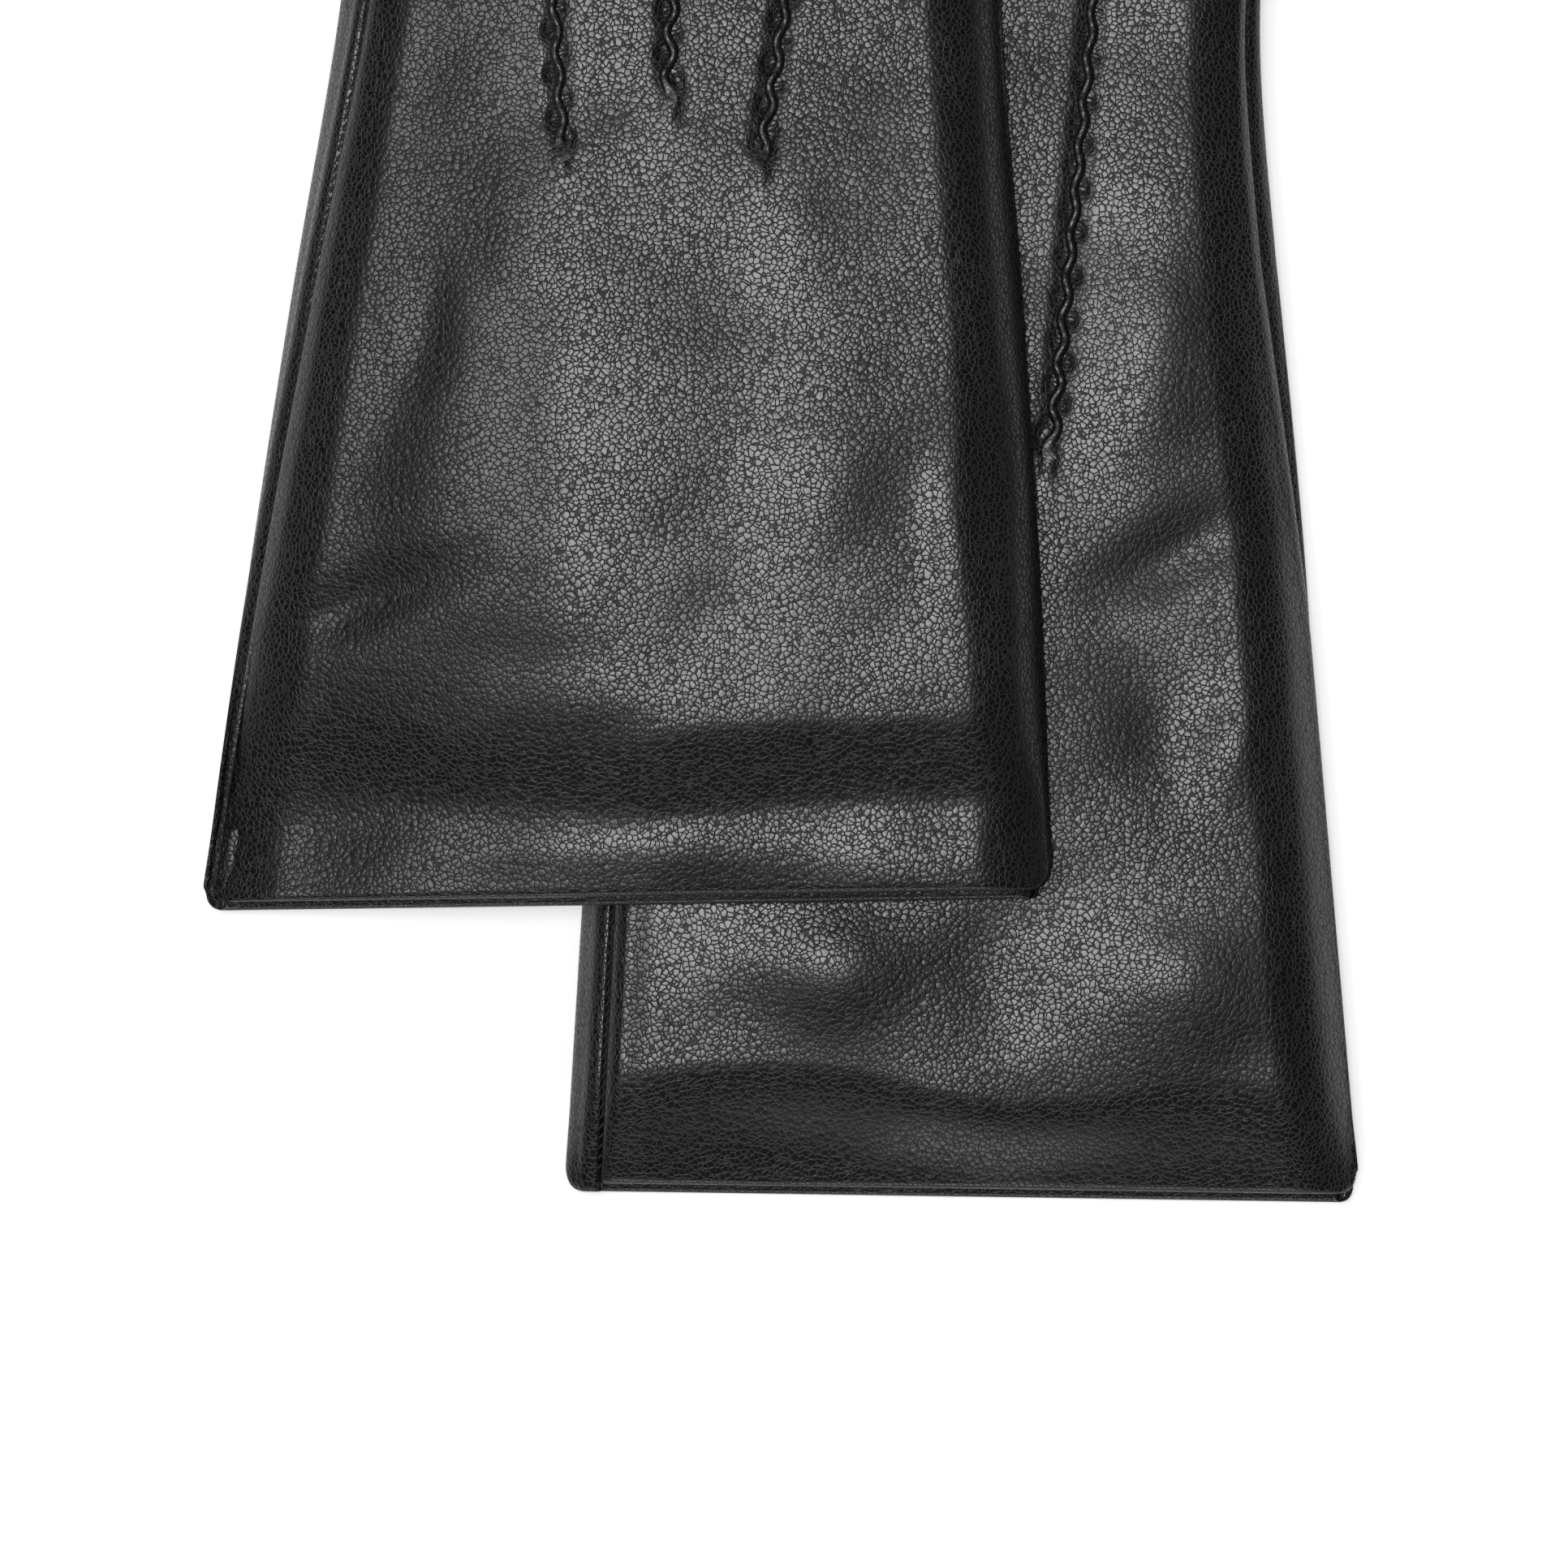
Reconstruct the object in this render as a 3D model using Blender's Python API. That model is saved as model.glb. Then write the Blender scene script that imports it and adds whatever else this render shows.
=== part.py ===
"""A pair of lined leather gloves with long flared cuffs, the left lying across the right, backs up.

Each glove is drawn flat in its own pattern frame: u runs across towards the thumb, v from the hem
towards the fingers. Every layer is a sheet between two depths under one rounded outer skin, so
leather, facing and lining stay parallel and apart. The left glove climbs from the table onto the
right one. The pair's origin is the middle of its footprint, on the table.
"""

import math

import bmesh
import bpy
from mathutils import Vector

MM = 0.001

# Layers, from the outer skin inwards
LEATHER = 0.9 * MM
LAYER_GAP = 0.3 * MM
KNIT = 0.8 * MM
FACING_TOP = LEATHER + LAYER_GAP
LINING_TOP = LEATHER + LAYER_GAP
LINING_BOTTOM = LINING_TOP + KNIT

# The glove lying empty
HALF_THICK = 5.0 * MM
HEM_BAND = 10.0 * MM
PALM_HEM_DROP = 1.2 * MM
KNUCKLE_V = 223.0 * MM
KNUCKLE_SLOPE = 0.10
KNUCKLE_HALF = 51.2 * MM
THUMB_HOLE = (172.0 * MM, 216.0 * MM)
JOINT_GAP = 0.5 * MM
ARC_STEP = 45
LEAST_STEP = 10
SEAM_ANGLE = 5
FOURCHETTE_ANGLE = 28
FOURCHETTE_SEAM = 5
HEM_SLANT_FADE = 160.0 * MM
FACING_START = 0.4 * MM
SHARP_ANGLE = 35

# Half widths of the hand from hem to knuckles, at these distances from the hem
WIDTH_AT = [0.0, 40.0, 80.0, 120.0, 160.0, 195.0, 228.0]
LEFT_HALF_WIDTHS = [57.2, 53.8, 49.5, 44.6, 42.2, 45.6, 51.2]
RIGHT_HALF_WIDTHS = [53.8, 50.9, 48.0, 44.7, 42.4, 45.6, 51.2]
HAND_ROWS = [0.0, 11.0, 45.0, 85.0, 130.0, 172.0, 194.0, 216.0]

# Fingers: middle of the base across the hand, base half width, tip half width, length, splay
FINGERS = {
    "index": (38.6, 12.4, 11.2, 74.0, 3.0),
    "middle": (12.9, 12.4, 11.4, 83.0, 0.5),
    "ring": (-12.9, 12.4, 11.2, 77.0, -2.5),
    "little": (-38.6, 12.4, 10.2, 62.0, -6.0),
}
FINGER_ROWS = [0.0, 0.5, 1.0]
TIP_ANGLES = [30, 57, 80]
TIP_HEIGHT_POWER = 0.6
ROUND_LIMIT = 0.8

# Thumb: rails of its outer and inner edge across and along the hand
THUMB_OUTER = [(52.5, 181.0), (66.0, 196.5), (80.0, 214.0), (90.5, 229.5)]
THUMB_INNER = [(53.0, 215.2), (57.5, 221.5), (64.0, 231.5), (71.5, 242.5)]

# Points: the three raised tucks on the back, at their cuff end and their knuckle end
POINTS = {"point_1": (-13.4, -24.5, 100.0), "point_2": (0.4, 0.0, 108.0), "point_3": (13.4, 24.5, 100.0)}
POINT_TOP_V = 205.0
POINT_WIDTH = 1.2 * MM
POINT_HEIGHT = 0.7 * MM
POINT_LIFT = 0.4 * MM
POINT_TAPER = 0.6
POINT_STEPS = 10

# How the left glove lies on the right one
UNDER_HEIGHT = 2 * HALF_THICK + POINT_LIFT + POINT_HEIGHT + 0.45 * MM
RAMP = 44.0 * MM
UNDER_WRIST = (-0.5 * MM, 121.0 * MM)
UNDER_CUFF_SLOPE = 0.065
UNDER_HAND_SLOPE = 0.155
UNDER_KNUCKLES_Y = 190.0 * MM
UNDER_FINGERTIPS_Y = 268.0 * MM
UNDER_THUMB = ((4.0 * MM, 152.0 * MM), (-34.0 * MM, 196.0 * MM))
UNDER_THUMB_RADIUS = 14.0 * MM
SUPPORT_BLEND = 5.0 * MM

# The middle of the pair's footprint, measured from the left glove's hem
FOOTPRINT_MIDDLE = (23.24 * MM, 132.45 * MM)

# Share of a side that its rounded edge counts for when places are put in order across a section
ARC_SHARE = 0.1

BLACK_LEATHER = (0.048, 0.046, 0.043, 1.0)
BLACK_KNIT = (0.03, 0.03, 0.032, 1.0)


class Glove:
    """Where one glove lies and how it differs from the other."""

    def __init__(self, name, mirror, hem, lean, half_widths, hem_slope, steps, draped):
        self.name = name
        self.mirror = mirror
        self.hem = hem
        self.lean = math.radians(lean)
        self.half_widths = half_widths
        self.hem_slope = hem_slope
        self.flat_steps, self.digit_steps = steps
        self.draped = draped


LEFT = Glove("left", 1, (0.0, 0.0), 2.8, LEFT_HALF_WIDTHS, 0.0645, (8, 3), True)
RIGHT = Glove("right", -1, (45.4 * MM, -39.8 * MM), -0.7, RIGHT_HALF_WIDTHS, 0.027, (4, 2), False)


def smooth(x):
    """A smooth step from 0 to 1."""
    x = min(max(x, 0.0), 1.0)
    return x * x * (3.0 - 2.0 * x)


def distance_to_segment(x, y, start, end):
    """Distance in plan from a point to a straight segment."""
    along = Vector(end) - Vector(start)
    reach = Vector((x, y)) - Vector(start)
    t = min(max(reach.dot(along) / along.length_squared, 0.0), 1.0)
    return (reach - t * along).length


def support(x, y):
    """Height of what the left glove lies on: the right glove, falling away beside it."""
    wrist_x, wrist_y = UNDER_WRIST
    above_wrist = min(max(y - wrist_y, 0.0), UNDER_KNUCKLES_Y - wrist_y)
    left_edge = wrist_x - UNDER_CUFF_SLOPE * max(wrist_y - y, 0.0) - UNDER_HAND_SLOPE * above_wrist
    beside = max(left_edge - x, 0.0)
    beyond = max(y - UNDER_FINGERTIPS_Y, 0.0)
    from_hand = math.hypot(beside, beyond)
    from_thumb = distance_to_segment(x, y, *UNDER_THUMB) - UNDER_THUMB_RADIUS
    spread = (from_hand - from_thumb) / 2
    nearest = (from_hand + from_thumb) / 2 - math.hypot(spread, SUPPORT_BLEND)
    return UNDER_HEIGHT * smooth(1.0 - nearest / RAMP)


def place(glove, u, v, z):
    """A point of the flat pattern, in the pair's frame and lying on what is under it."""
    across = glove.mirror * u
    x = glove.hem[0] + across * math.cos(glove.lean) + v * math.sin(glove.lean)
    y = glove.hem[1] - across * math.sin(glove.lean) + v * math.cos(glove.lean)
    lift = support(x, y) if glove.draped else 0.0
    return Vector((x - FOOTPRINT_MIDDLE[0], y - FOOTPRINT_MIDDLE[1], z + lift))


def half_width(glove, v):
    """Half width of the hand at a distance from the hem, on a smooth curve through the sizes."""
    at = [a * MM for a in WIDTH_AT]
    size = [w * MM for w in glove.half_widths]
    i = max(k for k in range(len(at) - 1) if v >= at[k] or k == 0)
    slopes = [(size[k + 1] - size[k]) / (at[k + 1] - at[k]) for k in range(len(at) - 1)]
    tangent = [slopes[0]] + [(a + b) / 2 for a, b in zip(slopes, slopes[1:])] + [slopes[-1]]
    h = at[i + 1] - at[i]
    t = (v - at[i]) / h
    return (
        size[i] * (1 + 2 * t) * (1 - t) ** 2
        + size[i + 1] * t * t * (3 - 2 * t)
        + h * (tangent[i] * t * (1 - t) ** 2 - tangent[i + 1] * t * t * (1 - t))
    )


class Row:
    """One flattened section of a tube, between two points of the pattern."""

    def __init__(self, low_side, high_side, tip_angle=0):
        self.middle = (Vector(low_side) + Vector(high_side)) / 2
        self.half = (Vector(high_side) - Vector(low_side)).length / 2
        self.across = (Vector(high_side) - Vector(low_side)).normalized()
        self.forward = Vector((-self.across.y, self.across.x))
        self.tip = math.radians(tip_angle)

    def point(self, glove, turn, depth):
        """A point at (side, angle) round the section, depth under the outer skin."""
        side, angle = turn
        angle = math.radians(angle)
        total = (self.half - depth) * math.cos(self.tip)
        height = (HALF_THICK - depth) * math.cos(self.tip) ** TIP_HEIGHT_POWER
        radius = height if self.tip == 0 else min(height, ROUND_LIMIT * total)
        s = side * (total - radius) + radius * math.cos(angle)
        flat = self.middle + self.across * s + self.forward * (self.half - depth) * math.sin(self.tip)
        return place(glove, flat.x, flat.y, HALF_THICK + radius * math.sin(angle))


def turns_over(first, last, steps):
    """Places over the top of a section, from angle first on the thumb side to last on the other."""
    arc = range(0, 91, ARC_STEP)
    thumb_side = [(1, first)] + [(1, a) for a in arc if a > first + LEAST_STEP]
    other_side = [(-1, 180 - a) for a in reversed(arc) if 180 - a < last - LEAST_STEP]
    flat = [(1 - 2 * k / steps, 90) for k in range(1, steps)]
    return thumb_side + flat + other_side + [(-1, last)]


def turns_under(first, last, steps):
    """The same places under the section."""
    return [(side, -angle) for side, angle in turns_over(first, last, steps)]


def turns_around(steps):
    """Places all the way round a section, starting on the thumb side."""
    under = turns_under(0, 180, steps)[1:-1]
    return turns_over(0, 180, steps) + under[::-1]


def across_place(turn):
    """Orders the places round a section from the little finger's side to the thumb's."""
    return turn[0] + ARC_SHARE * math.cos(math.radians(turn[1]))


def add_object(name, mesh, material):
    """Links a finished bmesh as a named object with its faces pointing out."""
    bmesh.ops.recalc_face_normals(mesh, faces=mesh.faces)
    data = bpy.data.meshes.new(name)
    mesh.to_mesh(data)
    mesh.free()
    data.materials.append(material)
    data.shade_smooth()
    data.set_sharp_from_angle(angle=math.radians(SHARP_ANGLE))
    obj = bpy.data.objects.new(name, data)
    bpy.context.scene.collection.objects.link(obj)
    return obj


def sheet(glove, name, rows, turns, depths, material, ring=False, missing=(), capped=False):
    """A layer between two depths, over rows of sections, as one closed solid.

    ring joins the last place round the section to the first, missing lists the cells left open
    as (row, column), and capped closes the last row."""
    mesh = bmesh.new()
    skins = [[[mesh.verts.new(row.point(glove, t, d)) for t in turns] for row in rows] for d in depths]
    columns = len(turns) if ring else len(turns) - 1
    cells = [(r, c) for r in range(len(rows) - 1) for c in range(columns) if (r, c) not in missing]
    edges = {}
    for r, c in cells:
        corners = [(r, c), (r, (c + 1) % len(turns)), (r + 1, (c + 1) % len(turns)), (r + 1, c)]
        first = 0 if across_place(turns[c]) < across_place(turns[(c + 1) % len(turns)]) else 1
        halves = [[corners[(first + k) % 4] for k in half] for half in ((0, 1, 2), (0, 2, 3))]
        for skin in skins:
            for half in halves:
                mesh.faces.new([skin[i][j] for i, j in half])
        for a, b in zip(corners, corners[1:] + corners[:1]):
            key = (min(a, b), max(a, b))
            edges[key] = edges.get(key, 0) + 1
    if capped:
        for skin in skins:
            mesh.faces.new(skin[-1])
    last = len(rows) - 1
    for (a, b), uses in edges.items():
        if uses == 1 and not (capped and a[0] == last and b[0] == last):
            outer, inner = skins
            mesh.faces.new([outer[a[0]][a[1]], outer[b[0]][b[1]], inner[b[0]][b[1]], inner[a[0]][a[1]]])
    bmesh.ops.delete(mesh, geom=[v for v in mesh.verts if not v.link_faces], context="VERTS")
    return add_object(glove.name + "_" + name, mesh, material)


def hand_row(glove, v, drop=0.0):
    """A row of the hand. The hem's slant fades out towards the wrist."""
    half = half_width(glove, v)
    slope = glove.hem_slope * (1.0 - smooth(v / HEM_SLANT_FADE))
    return Row((-half, v - slope * half - drop), (half, v + slope * half - drop))


def knuckle_row():
    """The last row of the hand, along the bases of the fingers."""
    rise = KNUCKLE_SLOPE * KNUCKLE_HALF
    return Row((-KNUCKLE_HALF, KNUCKLE_V - rise), (KNUCKLE_HALF, KNUCKLE_V + rise))


def hand_rows(glove, first=0, drop=0.0):
    """Rows of the hand from the one given, or from a hem that reaches drop further down."""
    rows = [hand_row(glove, v * MM) for v in HAND_ROWS[first:]] + [knuckle_row()]
    if drop:
        rows[0] = hand_row(glove, HAND_ROWS[first] * MM, drop)
    return rows


def thumb_hole_cells(first_row, columns):
    """Cells left open for the thumb, in the rows that start at first_row."""
    low, high = (HAND_ROWS.index(v / MM) - first_row for v in THUMB_HOLE)
    return [(r, c) for r in range(low, high) for c in columns]


def make_hand(glove, leather, knit):
    """Back and palm leather, hem facing and lining of the hand."""
    arcs = 90 // ARC_STEP
    over = turns_over(SEAM_ANGLE, 180 - SEAM_ANGLE, glove.flat_steps)
    under = turns_under(SEAM_ANGLE, 180 - SEAM_ANGLE, glove.flat_steps)
    around = turns_around(glove.flat_steps)
    hole = thumb_hole_cells(0, range(arcs))
    sheet(glove, "back_panel", hand_rows(glove), over, (0, LEATHER), leather, missing=hole)
    palm_rows = hand_rows(glove, drop=PALM_HEM_DROP)
    sheet(glove, "palm_panel", palm_rows, under, (0, LEATHER), leather, missing=hole)
    facing_rows = [hand_row(glove, v) for v in (FACING_START, HEM_BAND)]
    facing_depths = (FACING_TOP, FACING_TOP + LEATHER)
    sheet(glove, "hem_facing", facing_rows, around, facing_depths, leather, ring=True)
    sides = list(range(arcs)) + [len(around) - 1 - c for c in range(arcs)]
    hole = thumb_hole_cells(1, sides)
    depths = (LINING_TOP, LINING_BOTTOM)
    sheet(glove, "hand_lining", hand_rows(glove, 1), around, depths, knit, ring=True, missing=hole)


def make_point(glove, name, base_u, top_u, base_v, leather):
    """One raised tuck on the back, from the cuff towards the knuckles."""
    mesh = bmesh.new()
    rings = []
    for k in range(POINT_STEPS + 1):
        t = k / POINT_STEPS
        u = (base_u + (top_u - base_u) * t) * MM
        v = (base_v + (POINT_TOP_V - base_v) * t) * MM
        low = 2 * HALF_THICK + POINT_LIFT
        corners = [(-1, 0), (1, 0), (POINT_TAPER, 1), (-POINT_TAPER, 1)]
        ring = [place(glove, u + a * POINT_WIDTH / 2, v, low + b * POINT_HEIGHT) for a, b in corners]
        rings.append([mesh.verts.new(p) for p in ring])
    for a, b in zip(rings, rings[1:]):
        for k in range(4):
            mesh.faces.new([a[k], a[(k + 1) % 4], b[(k + 1) % 4], b[k]])
    mesh.faces.new(rings[0])
    mesh.faces.new(rings[-1])
    add_object(glove.name + "_" + name, mesh, leather)


def finger_frame(name):
    """Middle of a finger's base, its direction along and across, and its sizes."""
    base_u, base_half, tip_half, length, splay = FINGERS[name]
    along = Vector((math.sin(math.radians(splay)), math.cos(math.radians(splay))))
    across = Vector((along.y, -along.x))
    base = Vector((base_u * MM, KNUCKLE_V + KNUCKLE_SLOPE * base_u * MM + JOINT_GAP))
    return base, along, across, base_half * MM, tip_half * MM, length * MM


def finger_rows(name):
    """Rows of a finger from its slanted base to its rounded tip."""
    base, along, across, base_half, tip_half, length = finger_frame(name)
    rows = []
    straight = length - tip_half
    for t in FINGER_ROWS:
        half = base_half + (tip_half - base_half) * t
        low, high = (base + along * straight * t + across * side * half for side in (-1, 1))
        if t == 0.0:
            low.y, high.y = (KNUCKLE_V + KNUCKLE_SLOPE * p.x + JOINT_GAP for p in (low, high))
        rows.append(Row(low, high))
    rows += [Row(low, high, angle) for angle in TIP_ANGLES]
    return rows


def thumb_rows(glove):
    """Rows of the thumb, from the hole in the hand's side to its tip."""
    low_v, high_v = (THUMB_HOLE[0] + JOINT_GAP, THUMB_HOLE[1] - JOINT_GAP)
    outer = Vector((half_width(glove, low_v) - HALF_THICK + JOINT_GAP, low_v))
    inner = Vector((half_width(glove, high_v) - HALF_THICK + JOINT_GAP, high_v))
    rows = [Row(inner, outer)]
    for a, b in zip(THUMB_INNER, THUMB_OUTER):
        inner, outer = (Vector(p) * MM for p in (a, b))
        rows.append(Row(inner, outer))
    return rows + [Row(inner, outer, angle) for angle in TIP_ANGLES]


def make_digit(glove, name, rows, walls, leather, knit):
    """A finger or thumb: back and palm leather, a fourchette in each listed side, and a stall.

    walls holds 1 for a fourchette on the thumb side and -1 for one on the other side."""
    edge = FOURCHETTE_ANGLE + FOURCHETTE_SEAM
    first = edge if 1 in walls else SEAM_ANGLE
    last = 180 - (edge if -1 in walls else SEAM_ANGLE)
    steps = glove.digit_steps
    skin = (0, LEATHER)
    sheet(glove, name + "_back", rows, turns_over(first, last, steps), skin, leather)
    sheet(glove, name + "_palm", rows, turns_under(first, last, steps), skin, leather)
    for side in walls:
        middle = 90 - 90 * side
        turns = [(side, middle + a) for a in (-FOURCHETTE_ANGLE, 0, FOURCHETTE_ANGLE)]
        label = "_fourchette" if len(walls) == 1 else {1: "_fourchette_a", -1: "_fourchette_b"}[side]
        sheet(glove, name + label, rows, turns, skin, leather)
    stall = (LINING_TOP, LINING_BOTTOM)
    sheet(glove, name + "_lining", rows, turns_around(steps), stall, knit, ring=True, capped=True)


def material(name, colour, roughness):
    """A plain material of one colour."""
    made = bpy.data.materials.new(name)
    made.use_nodes = True
    shader = made.node_tree.nodes["Principled BSDF"]
    shader.inputs["Base Color"].default_value = colour
    shader.inputs["Roughness"].default_value = roughness
    shader.inputs["Metallic"].default_value = 0.0
    return made


def make_glove(glove, leather, knit):
    """All pieces of one glove."""
    make_hand(glove, leather, knit)
    for name, (base_u, top_u, base_v) in POINTS.items():
        make_point(glove, name, base_u, top_u, base_v, leather)
    walls = {"index": (-1,), "middle": (1, -1), "ring": (1, -1), "little": (1,)}
    for name in FINGERS:
        make_digit(glove, name, finger_rows(name), walls[name], leather, knit)
    make_digit(glove, "thumb", thumb_rows(glove), (), leather, knit)


def main():
    """Clears the scene and makes both gloves."""
    for obj in list(bpy.data.objects):
        bpy.data.objects.remove(obj, do_unlink=True)
    leather = material("black_leather", BLACK_LEATHER, 0.42)
    knit = material("black_knit", BLACK_KNIT, 0.9)
    make_glove(RIGHT, leather, knit)
    make_glove(LEFT, leather, knit)


main()
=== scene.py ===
"""Looks of the leather gloves: fine leather skins, seams, points, stitches, linings, light and camera.

Each glove is worked out in its own flat pattern frame, as the CAD is: u runs across towards the
thumb, v from the hem towards the fingers, and place() lays the pattern in the row frame, the left
glove climbing onto the right one. Lengths are in metres.
"""

import math

import bmesh
import bpy
import numpy as np
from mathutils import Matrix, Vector


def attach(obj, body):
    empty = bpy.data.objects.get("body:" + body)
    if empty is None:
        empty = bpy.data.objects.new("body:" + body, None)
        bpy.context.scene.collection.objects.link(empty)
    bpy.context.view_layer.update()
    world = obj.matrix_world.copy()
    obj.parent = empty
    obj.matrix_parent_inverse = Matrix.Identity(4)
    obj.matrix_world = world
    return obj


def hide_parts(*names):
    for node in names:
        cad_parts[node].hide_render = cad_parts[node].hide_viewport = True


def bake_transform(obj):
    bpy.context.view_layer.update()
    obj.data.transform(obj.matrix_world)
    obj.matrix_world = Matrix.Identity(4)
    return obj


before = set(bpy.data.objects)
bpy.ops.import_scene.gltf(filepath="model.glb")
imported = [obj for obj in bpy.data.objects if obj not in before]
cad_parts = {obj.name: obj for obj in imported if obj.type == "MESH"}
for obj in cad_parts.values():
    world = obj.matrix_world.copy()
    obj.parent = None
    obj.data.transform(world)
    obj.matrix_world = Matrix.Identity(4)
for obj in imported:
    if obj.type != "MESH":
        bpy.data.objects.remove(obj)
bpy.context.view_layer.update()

MM = 0.001
SEED = 7

# ---------------------------------------------------------------- the CAD's driving sizes
HALF_THICK = 5.0 * MM
LEATHER = 0.85 * MM
KNIT = 0.7 * MM
LINING_DEPTH = 1.2 * MM
KNUCKLE_V = 223.0 * MM
KNUCKLE_SLOPE = 0.10
KNUCKLE_HALF = 51.2 * MM
WIDTH_AT = np.array([0.0, 40.0, 80.0, 120.0, 160.0, 195.0, 228.0]) * MM
LEFT_HALF_WIDTHS = np.array([57.2, 53.8, 49.5, 44.6, 42.2, 45.6, 51.2]) * MM
RIGHT_HALF_WIDTHS = np.array([53.8, 50.9, 48.0, 44.7, 42.4, 45.6, 51.2]) * MM
HEM_SLANT_FADE = 160.0 * MM
# Fingers: base across, tip half width and length in mm, and splay in degrees
FINGERS = {
    "index": (38.4, 11.2, 74.0, 3.0),
    "middle": (12.8, 11.4, 83.0, 0.5),
    "ring": (-12.8, 11.2, 77.0, -2.5),
    "little": (-38.4, 10.2, 62.0, -6.0),
}
FINGER_BASE_HALF = 12.8 * MM
# The thumb's two edges, in mm across and along
THUMB_OUTER = [(36.0, 170.5), (43.2, 174.0), (52.5, 181.0), (66.0, 196.5), (80.0, 214.0), (90.5, 229.5)]
THUMB_INNER = [(36.0, 214.0), (45.5, 214.6), (53.0, 215.6), (57.5, 221.5), (64.0, 231.5), (71.5, 242.5)]
UNDER_HEIGHT = 11.55 * MM
RAMP = 62.0 * MM
UNDER_WRIST = (-0.5 * MM, 121.0 * MM)
UNDER_CUFF_SLOPE = 0.065
UNDER_HAND_SLOPE = 0.155
UNDER_KNUCKLES_Y = 190.0 * MM
UNDER_FINGERTIPS_Y = 268.0 * MM
UNDER_THUMB = (np.array((4.0, 152.0)) * MM, np.array((-34.0, 196.0)) * MM)
UNDER_THUMB_RADIUS = 14.0 * MM
SUPPORT_BLEND = 5.0 * MM
FOOTPRINT_MIDDLE = (23.24 * MM, 132.45 * MM)


class Glove:
    """Where one glove lies, and how its cuff, seams and points differ from the other's."""

    def __init__(self, name, mirror, hem, lean, half_widths, hem_slope, draped, out_seam, thumb_seam,
                 hem_press):
        self.name = name
        self.mirror = mirror
        self.hem = hem
        self.lean = math.radians(lean)
        self.half_widths = half_widths
        self.hem_slope = hem_slope
        self.draped = draped
        self.out_seam = out_seam
        self.thumb_seam = thumb_seam
        self.hem_press = hem_press


# Seam heights round the side, in degrees above the middle: at the hem, mid cuff and wrist
LEFT = Glove("left", 1, (0.0, 0.0), 2.8, LEFT_HALF_WIDTHS, 0.0645, True,
             out_seam=(18.0, 58.0, 76.0), thumb_seam=(-35.0, -35.0, -20.0),
             hem_press=(24.0 * MM, 8.0 * MM, 0.2))
RIGHT = Glove("right", -1, (45.4 * MM, -39.8 * MM), -0.7, RIGHT_HALF_WIDTHS, 0.027, False,
              out_seam=(-12.0, 0.0, 45.0), thumb_seam=(84.0, 76.0, 60.0),
              hem_press=(15.0 * MM, -5.0 * MM, 0.45))
SEAM_AT = np.array([0.0, 75.0, 125.0]) * MM
GLOVES = (RIGHT, LEFT)


def smooth(x):
    """A smooth step from 0 to 1."""
    x = np.clip(x, 0.0, 1.0)
    return x * x * (3.0 - 2.0 * x)


def hump(x, width):
    """A smooth bell, 1 at 0."""
    return np.exp(-((x / width) ** 2))


def support(x, y):
    """Height of what the left glove lies on: the right glove, falling away beside it."""
    above = np.clip(y - UNDER_WRIST[1], 0.0, UNDER_KNUCKLES_Y - UNDER_WRIST[1])
    below = np.maximum(UNDER_WRIST[1] - y, 0.0)
    left_edge = UNDER_WRIST[0] - UNDER_CUFF_SLOPE * below - UNDER_HAND_SLOPE * above
    from_hand = np.hypot(np.maximum(left_edge - x, 0.0), np.maximum(y - UNDER_FINGERTIPS_Y, 0.0))
    start, end = UNDER_THUMB
    along = end - start
    t = np.clip(((x - start[0]) * along[0] + (y - start[1]) * along[1]) / (along @ along), 0.0, 1.0)
    from_thumb = np.hypot(x - start[0] - t * along[0], y - start[1] - t * along[1]) - UNDER_THUMB_RADIUS
    nearest = (from_hand + from_thumb) / 2 - np.hypot((from_hand - from_thumb) / 2, SUPPORT_BLEND)
    return UNDER_HEIGHT * smooth(1.0 - nearest / RAMP)


def place(glove, u, v, z):
    """Pattern points in the row frame, lying on what is under them."""
    across = glove.mirror * u
    x = glove.hem[0] + across * math.cos(glove.lean) + v * math.sin(glove.lean)
    y = glove.hem[1] - across * math.sin(glove.lean) + v * math.cos(glove.lean)
    lift = support(x, y) if glove.draped else 0.0
    return np.stack([x - FOOTPRINT_MIDDLE[0], y - FOOTPRINT_MIDDLE[1], z + lift], axis=-1)


def half_width(glove, v):
    """Half width of the hand at distances from the hem, on the CAD's smooth curve."""
    at, size = WIDTH_AT, glove.half_widths
    slopes = np.diff(size) / np.diff(at)
    tangent = np.concatenate([[slopes[0]], (slopes[1:] + slopes[:-1]) / 2, [slopes[-1]]])
    i = np.clip(np.searchsorted(at, v, side="right") - 1, 0, len(at) - 2)
    h = at[i + 1] - at[i]
    t = (v - at[i]) / h
    rise = size[i] * (1 + 2 * t) * (1 - t) ** 2 + size[i + 1] * t * t * (3 - 2 * t)
    return rise + h * (tangent[i] * t * (1 - t) ** 2 - tangent[i + 1] * t * t * (1 - t))


# ---------------------------------------------------------------- surfaces
EDGE_HEIGHT = 0.5  # share of the full height that is left at the cuff's side
EDGE_RUN = 10.5 * MM
OPEN_CUFF = (135 * MM, 195 * MM)  # the cuff's pressed sides fade out between these
FOLD_RADIUS = 0.95 * MM
TURN_IN = 10.0 * MM
TURNED_DEPTH = 2.9 * MM
SKIVED = 0.6  # share of the leather's thickness pared off where it is turned in
SEAM_CURL = 1.25 * MM
CORNER = 2.6 * MM
CORNER_RUN = 12.0 * MM
LOBE_LENGTH = 26.0 * MM
FINGER_PITCH = 25.6 * MM
SEAM_GAP = 0.12 * MM
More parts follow.
